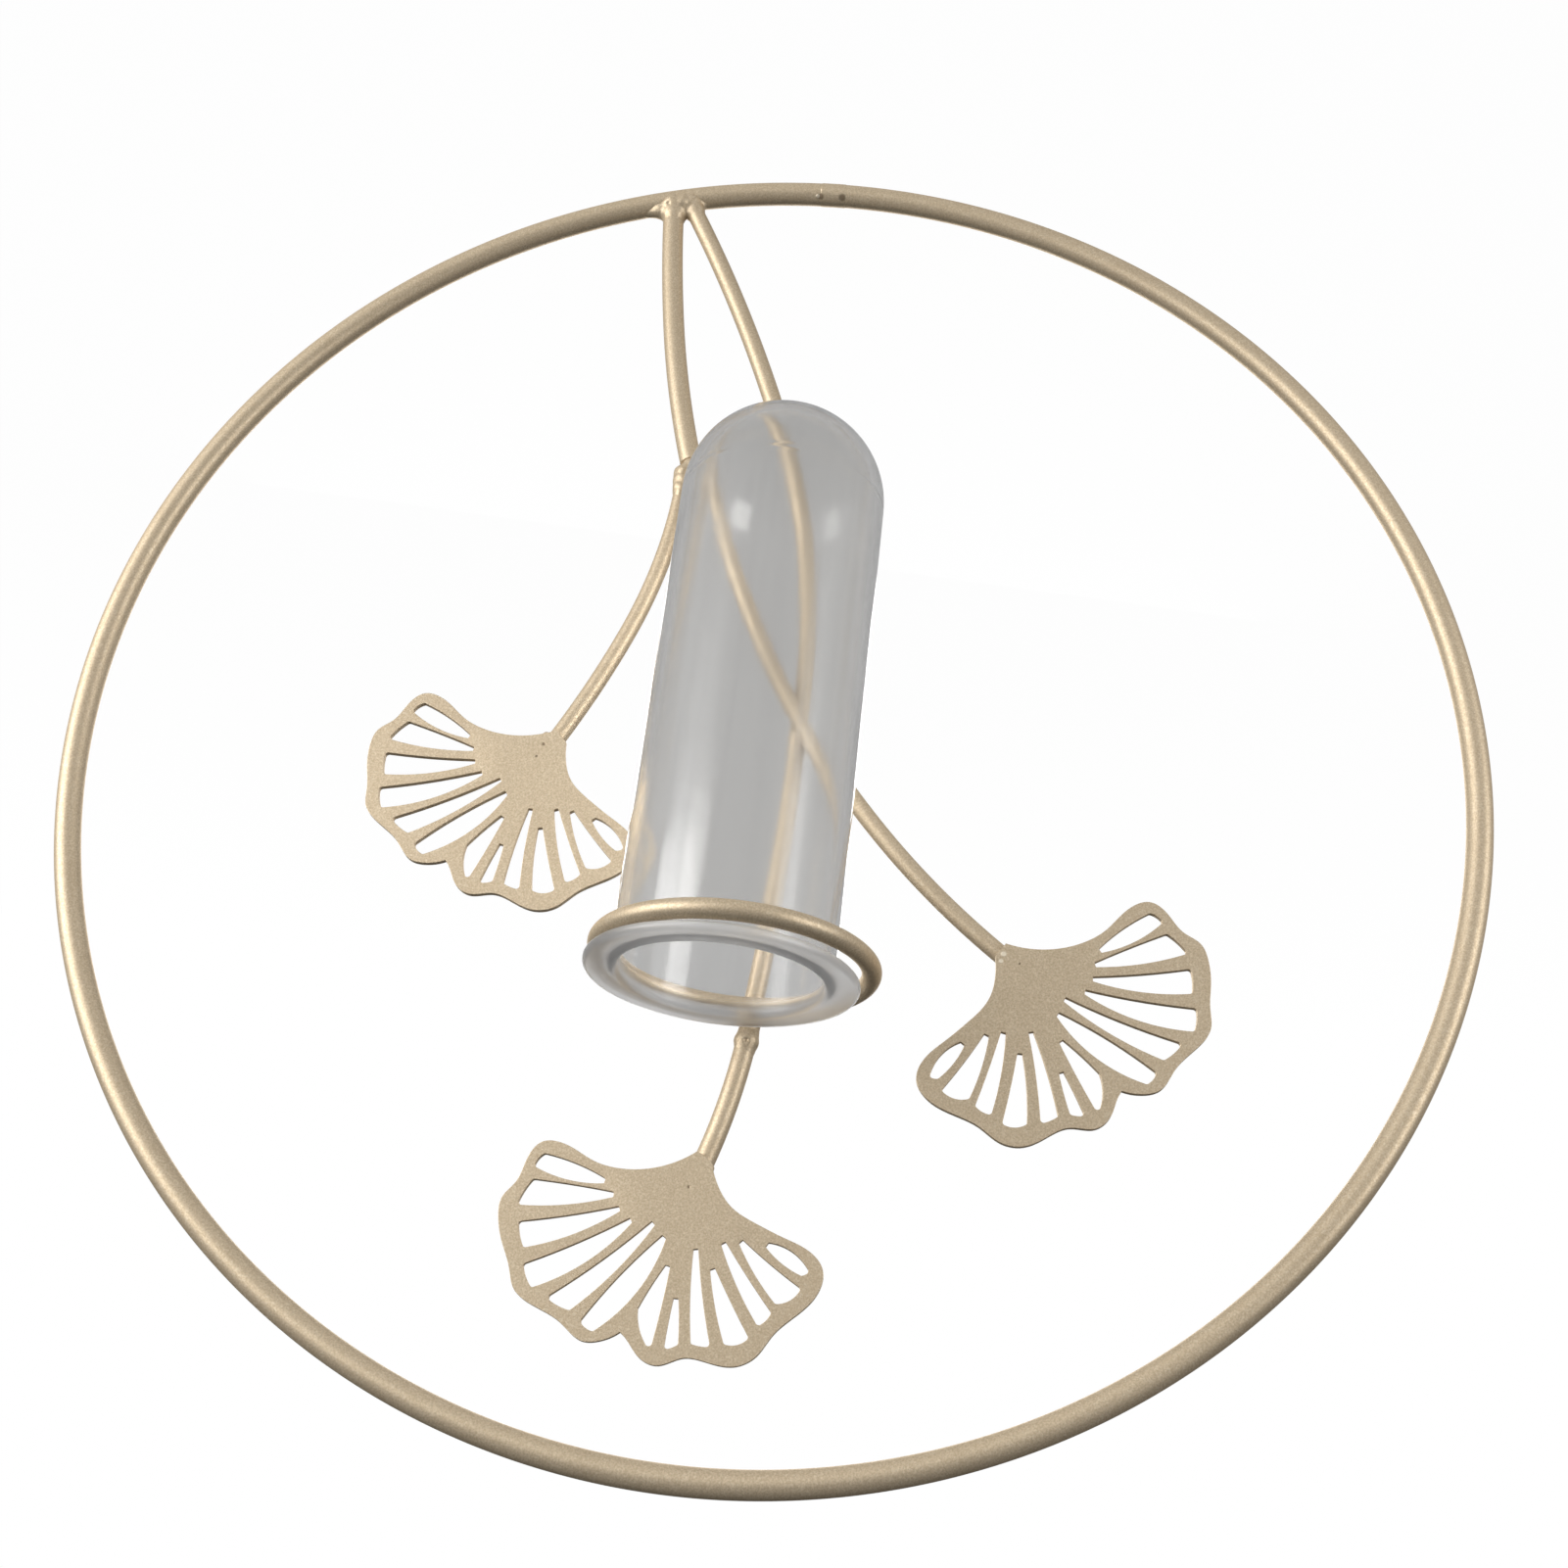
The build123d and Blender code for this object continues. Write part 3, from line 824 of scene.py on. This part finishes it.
glass_wall = glass.out(
    "ShaderNodeBsdfPrincipled", "BSDF", None,
    {
        "Base Color": glass.tint(dull, GLASS, GLASS_STREAK),
        "Roughness": dull * 0.08 + lip * 0.26 + 0.09,
        "Transmission Weight": 0.985,
        "IOR": 1.46,
        "Normal": glass.bump(streaks * 0.12 + waves + line * 0.2, GLASS_RELIEF),
    },
)
lamp_ray = glass.out("ShaderNodeLightPath", "Is Shadow Ray")
lets_light_in = glass.out("ShaderNodeBsdfTransparent", "BSDF", None, {"Color": GLASS_SHADOW})
either = {0: lamp_ray, 1: glass_wall, 2: lets_light_in}
clear_glass = glass.end(glass.out("ShaderNodeMixShader", "Shader", None, either))
print("glass nodes:", len(clear_glass.node_tree.nodes))

# %% Spin the wall
profile = list(tube_bm.verts) + list(tube_bm.edges)
bmesh.ops.spin(
    tube_bm, geom=profile, cent=(0, 0, 0), axis=(0, 0, 1), angle=2 * pi, steps=TUBE_STEPS,
    use_merge=True,
)
bmesh.ops.transform(tube_bm, matrix=tube_place, verts=tube_bm.verts)
keep(tube_bm, "tube_glass", "tube", ["glass_tube"], clear_glass)

# %% [markdown]
# ## Studio
#
# The vase hangs over a plain white floor among four soft lamps: a broad one in front on the right,
# a smaller one in front on the left, a narrow weak one at the right side and one behind. Only the
# left and the side lamp show through the glass, whose far wall mirrors them as the two bright spots
# in the round bottom. The others would hide what is behind the tube. The photograph was taken with
# the vase turned over, so the floor throws more light back than the sky. Floor and sky are white to
# the camera, grey to gloss and through the glass, and light the vase less than that.


# %% Floor and world
WHITE = (1, 1, 1, 1)
FLOOR_PAINT = (0.86, 0.86, 0.86, 1.0)
SKY = {"Is Camera Ray": 1.0, "Is Glossy Ray": 0.13, "Is Transmission Ray": 0.28}
FLOOR = {"Is Camera Ray": 1.0, "Is Glossy Ray": 0.34, "Is Transmission Ray": 0.28}
SKY_LIGHT = 0.06
FLOOR_LIGHT = 0.46
FLOOR_GLOW = 0.98
FLOOR_HEIGHT = -0.75
FLOOR_HALF = 40.0


def backdrop_level(finish, seen, light):
    """How bright a backdrop is to each kind of ray, and to those that only light the vase."""
    path = finish.add("ShaderNodeLightPath")
    level = light
    for ray, brightness in seen.items():
        is_ray = Wire(finish, path.outputs[ray])
        level = is_ray.maths("MAXIMUM", is_ray * brightness, level)
    return level


class Studio(Finish):
    """The world's own nodes, which are added in the same way as a material's."""

    def __init__(self, world):
        world.use_nodes = True
        self.tree = world.node_tree
        self.tree.nodes.clear()


world = bpy.data.worlds.new("studio")
bpy.context.scene.world = world
studio = Studio(world)
sky_glow = {"Color": WHITE, "Strength": backdrop_level(studio, SKY, SKY_LIGHT)}
sky = studio.out("ShaderNodeBackground", "Background", values=sky_glow)
studio.add("ShaderNodeOutputWorld", None, {"Surface": sky})

floor_finish = Finish("floor")
from_middle = floor_finish.out(
    "ShaderNodeVectorMath", "Value", {"operation": "LENGTH"}, {0: floor_finish.place}
)
matt = floor_finish.out("ShaderNodeBsdfDiffuse", "BSDF", values={"Color": FLOOR_PAINT})
floor_glow = {"Color": WHITE, "Strength": backdrop_level(floor_finish, FLOOR, FLOOR_LIGHT)}
glow = floor_finish.out("ShaderNodeEmission", "Emission", values=floor_glow)
glow_share = floor_finish.ease(from_middle, 0.8, 2.5, FLOOR_GLOW, 1.0)
floor_mix = {0: glow_share, 1: matt, 2: glow}
floor_paint = floor_finish.end(
    floor_finish.out("ShaderNodeMixShader", "Shader", None, floor_mix)
)

floor_bm = bmesh.new()
bmesh.ops.create_grid(
    floor_bm, x_segments=1, y_segments=1, size=FLOOR_HALF,
    matrix=Matrix.Translation((0, 0, FLOOR_HEIGHT)),
)
floor_mesh = bpy.data.meshes.new("floor")
floor_bm.to_mesh(floor_mesh)
floor_bm.free()
floor = bpy.data.objects.new("floor", floor_mesh)
bpy.context.scene.collection.objects.link(floor)
floor_mesh.materials.append(floor_paint)
print("floor", round(floor_mesh.vertices[0].co.z, 2), "m")

# %% Lamps
middle_of_vase = Vector((0, 0, -0.135))


def soft_lamp(name, direction, distance, size, power, through_glass=True):
    """A rectangular soft lamp that faces the vase and isn't itself in the picture."""
    light = bpy.data.lights.new(name, "AREA")
    light.shape = "RECTANGLE"
    light.size, light.size_y = size
    light.energy = power
    lamp = bpy.data.objects.new(name, light)
    towards = Vector(direction).normalized()
    lamp.location = middle_of_vase + towards * distance
    lamp.rotation_euler = towards.to_track_quat("Z", "Y").to_euler()
    lamp.visible_camera = False
    lamp.visible_transmission = through_glass
    bpy.context.scene.collection.objects.link(lamp)
    print(f"{name}: {power} W at {distance} m")


soft_lamp("lamp_right", (0.79, -0.59, -0.11), 1.0, (0.85, 0.74), 8.8, through_glass=False)
soft_lamp("lamp_left", (-0.82, -0.53, -0.08), 1.0, (0.46, 0.60), 4.0)
soft_lamp("lamp_side", (0.88, -0.46, -0.16), 1.0, (0.34, 0.56), 1.4)
soft_lamp("lamp_back", (0.1, 0.85, -0.25), 1.1, (0.8, 0.7), 4.2, through_glass=False)

# %% [markdown]
# ## Camera
#
# The photograph looks down at the front of the vase and is turned almost upside down, so that the
# foot of the stems is at the top of the picture. The camera's three axes are written out, because
# three turns would say less about where it looks.

# %% Camera
camera_data = bpy.data.cameras.new("camera")
camera_data.lens = 43.85
camera_data.sensor_width = 36.0
camera_data.clip_start = 0.01
camera = bpy.data.objects.new("camera", camera_data)
bpy.context.scene.collection.objects.link(camera)
bpy.context.scene.camera = camera
right = Vector((-0.99375, 0.03230, -0.10677))
up = Vector((0.08425, -0.41008, -0.90815))
back = Vector((-0.07313, -0.91148, 0.40480))
camera_place = Vector((-31.6, -339.2, 24.1)) * mm
view = Matrix((right, up, back)).transposed().to_4x4()
camera.matrix_world = Matrix.Translation(camera_place) @ view
bpy.context.scene.view_settings.view_transform = "Standard"
print("camera is", round((camera_place - middle_of_vase).length / mm), "mm from the vase")
